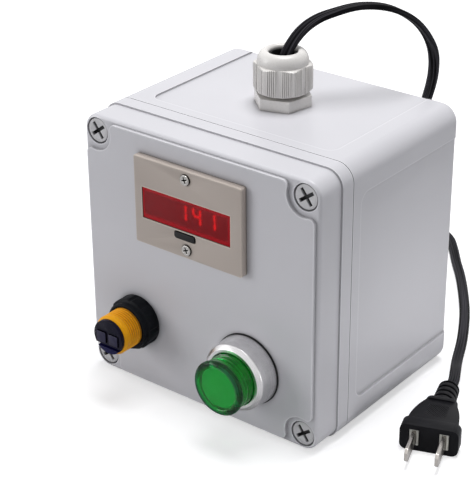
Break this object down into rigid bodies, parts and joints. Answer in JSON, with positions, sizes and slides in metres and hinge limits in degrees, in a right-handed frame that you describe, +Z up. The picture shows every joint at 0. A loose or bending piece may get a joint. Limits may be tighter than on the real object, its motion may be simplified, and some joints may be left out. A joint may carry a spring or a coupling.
{
  "type": "panel counter",
  "caption": "Boxed counting station with a digital panel counter, a round light sensor and a lamp pushbutton on its lid, and a mains lead through a gland on its top.",
  "frame": {"origin": "on the standing face, under the middle of the box with its controls", "axes": "+Z up through the gland, +Y from the lid to the back, +X to the pushbutton's side"},
  "size_m": [0.1715, 0.2332, 0.1659],
  "materials": {
    "case_grey": "fine satin",
    "seal_rubber": "matte",
    "screw_plastic": "satin",
    "bezel_taupe": "satin",
    "window_red": "clear polished",
    "dark_plastic": "satin",
    "segment_red": "diffuse",
    "board_green": "lacquered",
    "key_black": "satin",
    "bright_steel": "plated",
    "terminal_green": "satin",
    "sensor_orange": "satin",
    "face_violet": "polished",
    "lens_dark": "polished",
    "nut_black": "satin",
    "ring_silver": "satin with a bright bevel",
    "lens_green": "clear polished",
    "plunger_white": "satin",
    "gland_white": "satin",
    "cord_black": "soft satin",
    "plug_black": "soft satin",
    "core_grey": "satin"
  },
  "bodies": {
    "station": {"case_base": "case_grey", "case_lid": "case_grey", "lid_seal": "seal_rubber", "lid_screws": "screw_plastic", "counter_bezel": "bezel_taupe", "counter_window": "window_red", "counter_case": "dark_plastic", "counter_display": "dark_plastic", "display_segments": "segment_red", "counter_board": "board_green", "reset_switch": "dark_plastic", "counter_screws": "bright_steel", "counter_clamps": "dark_plastic", "counter_terminals": "terminal_green", "terminal_screws": "bright_steel", "sensor_barrel": "sensor_orange", "sensor_face": "face_violet", "sensor_lenses": "lens_dark", "sensor_front_nut": "nut_black", "sensor_rear_nut": "nut_black", "sensor_end_cap": "nut_black", "sensor_lead": "cord_black", "button_ring": "ring_silver", "button_gasket": "seal_rubber", "button_spring": "bright_steel", "button_lamp": "plunger_white", "button_nut": "dark_plastic", "button_body": "dark_plastic", "button_contacts": "dark_plastic", "contact_screws": "bright_steel", "button_lead": "cord_black", "gland_body": "gland_white", "gland_dome_nut": "gland_white", "gland_seal": "seal_rubber", "gland_lock_nut": "gland_white", "cord_tail": "cord_black", "power_cord": "cord_black", "plug_body": "plug_black", "plug_core": "core_grey", "plug_blades": "bright_steel"},
    "lamp_button": {"button_lens": "lens_green", "button_plunger": "plunger_white"},
    "reset_key": {"reset_key": "key_black"}
  },
  "joints": [
    {"name": "button_press", "type": "slide", "parent": "station", "child": "lamp_button", "axis": [0, 1, 0], "range_m": [0, 0.005], "stiffness_N_per_m": 500, "springref_m": -0.003, "deforming": ["button_spring"]},
    {"name": "reset_press", "type": "slide", "parent": "station", "child": "reset_key", "axis": [0, 1, 0], "range_m": [0, 0.0008], "stiffness_N_per_m": 700, "springref_m": -0.0006}
  ]
}
